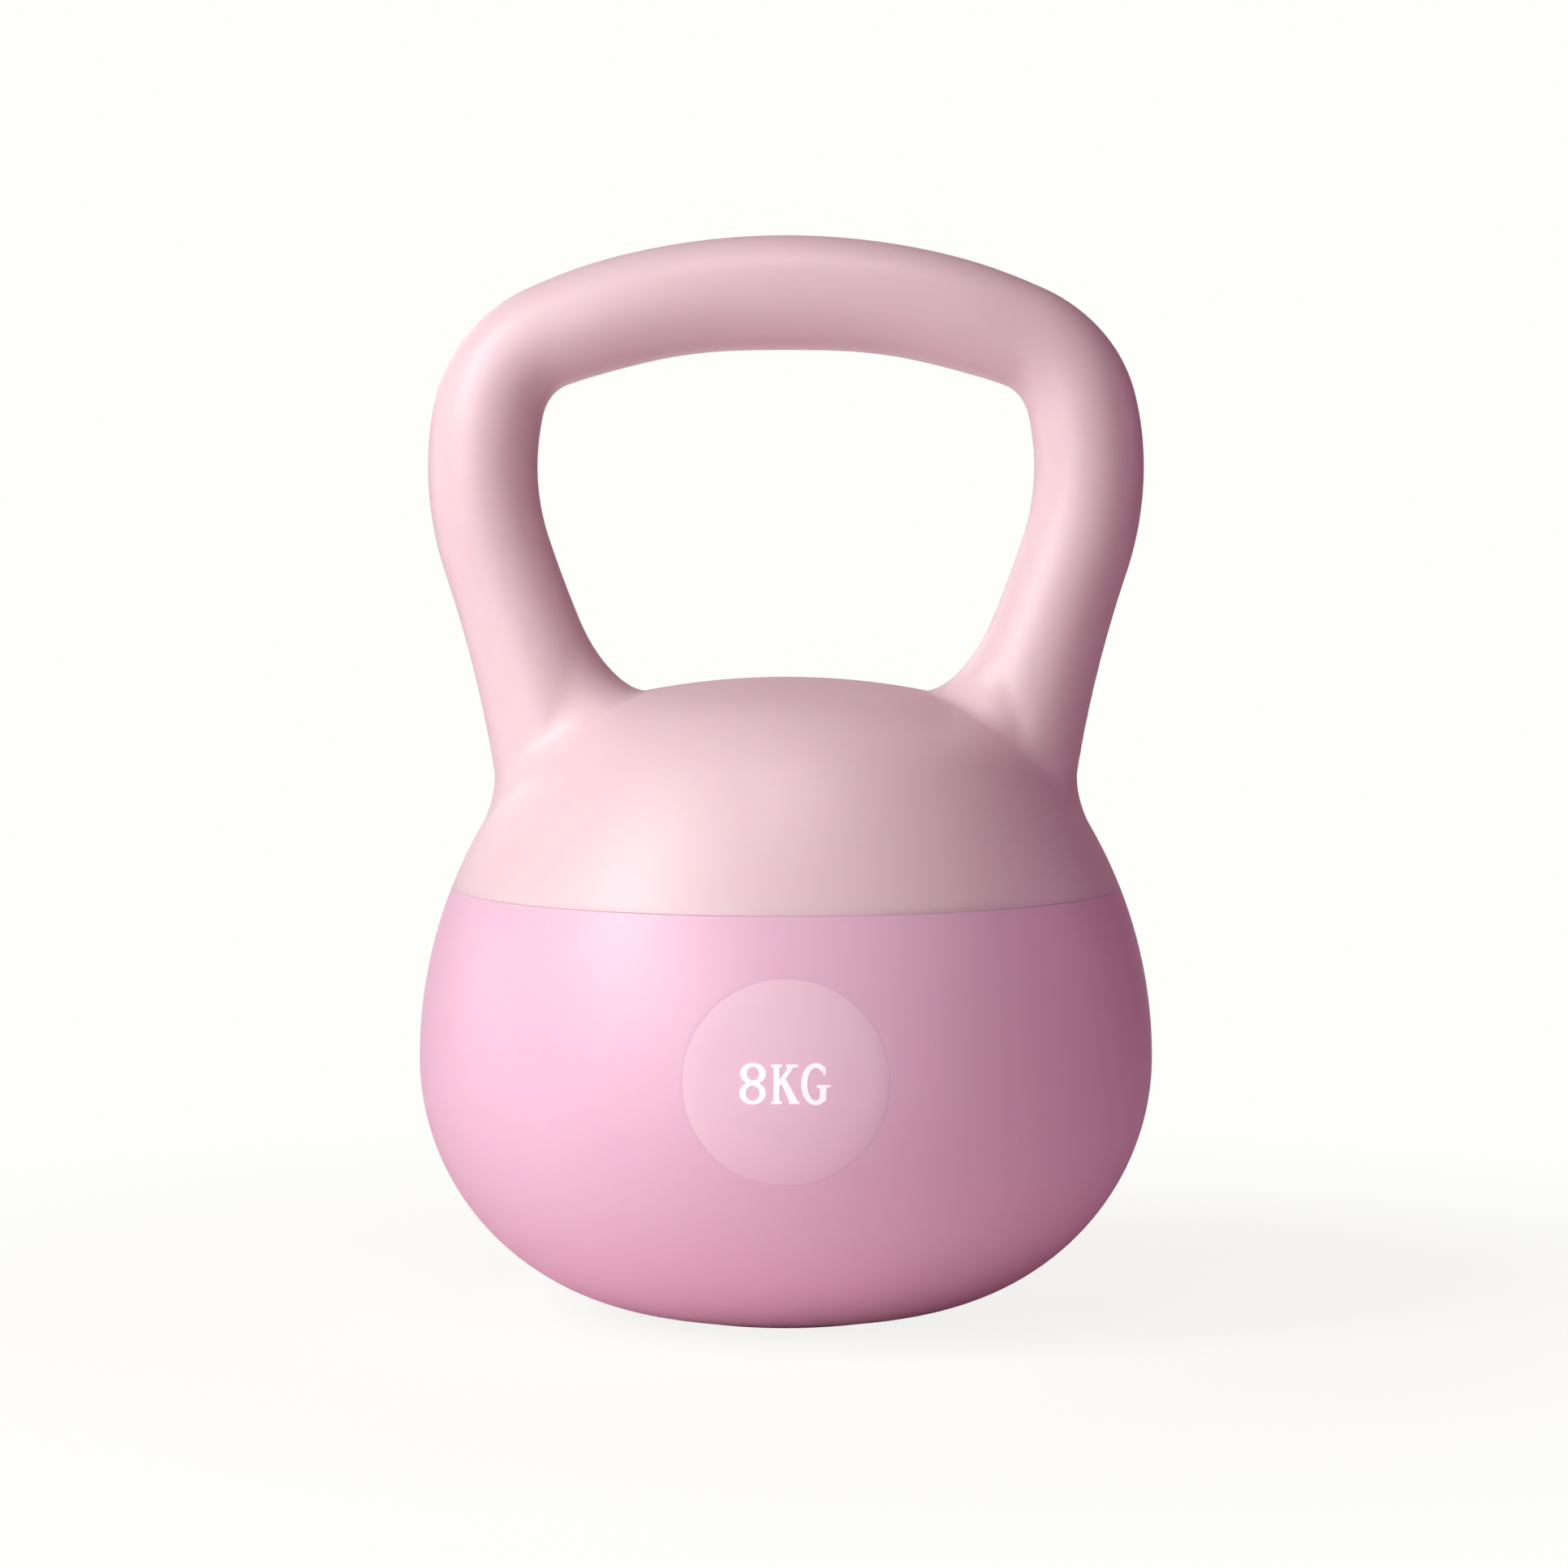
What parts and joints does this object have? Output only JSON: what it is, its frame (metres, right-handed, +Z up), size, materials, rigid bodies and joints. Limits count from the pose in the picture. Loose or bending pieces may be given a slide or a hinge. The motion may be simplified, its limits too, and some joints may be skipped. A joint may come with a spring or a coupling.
{
  "type": "kettlebell",
  "caption": "Soft kettlebell: a round sand-filled bulb under a domed cover with a rounded loop handle, a weight disc in front and a flat non-slip foot; a hand weight for swings and lifts.",
  "frame": {"origin": "on the floor under the axis of the bulb, in the plane of the foot pad", "axes": "+Z up along the bulb's axis, X across the handle loop, and the weight disc faces -Y"},
  "size_m": [0.18, 0.1803, 0.264],
  "materials": {
    "blush_cover": "satin",
    "orchid_shell": "satin",
    "pale_disc": "matte",
    "bar_steel": "satin",
    "pressed_steel": "satin",
    "zinc_steel": "satin",
    "clamp_steel": "satin",
    "iron_sand": "matte",
    "port_plastic": "satin",
    "seal_rubber": "matte",
    "pad_rubber": "matte"
  },
  "bodies": {
    "root": {"top_cover": "blush_cover", "lower_shell": "orchid_shell", "weight_disc": "pale_disc", "handle_core": "bar_steel", "anchor_plate": "pressed_steel", "core_washers": "zinc_steel", "core_nuts": "zinc_steel", "neck_clamp": "clamp_steel", "iron_sand": "iron_sand", "filler_ring": "port_plastic", "filler_plug": "port_plastic", "plug_seal": "seal_rubber", "base_pad": "pad_rubber"}
  },
  "joints": []
}
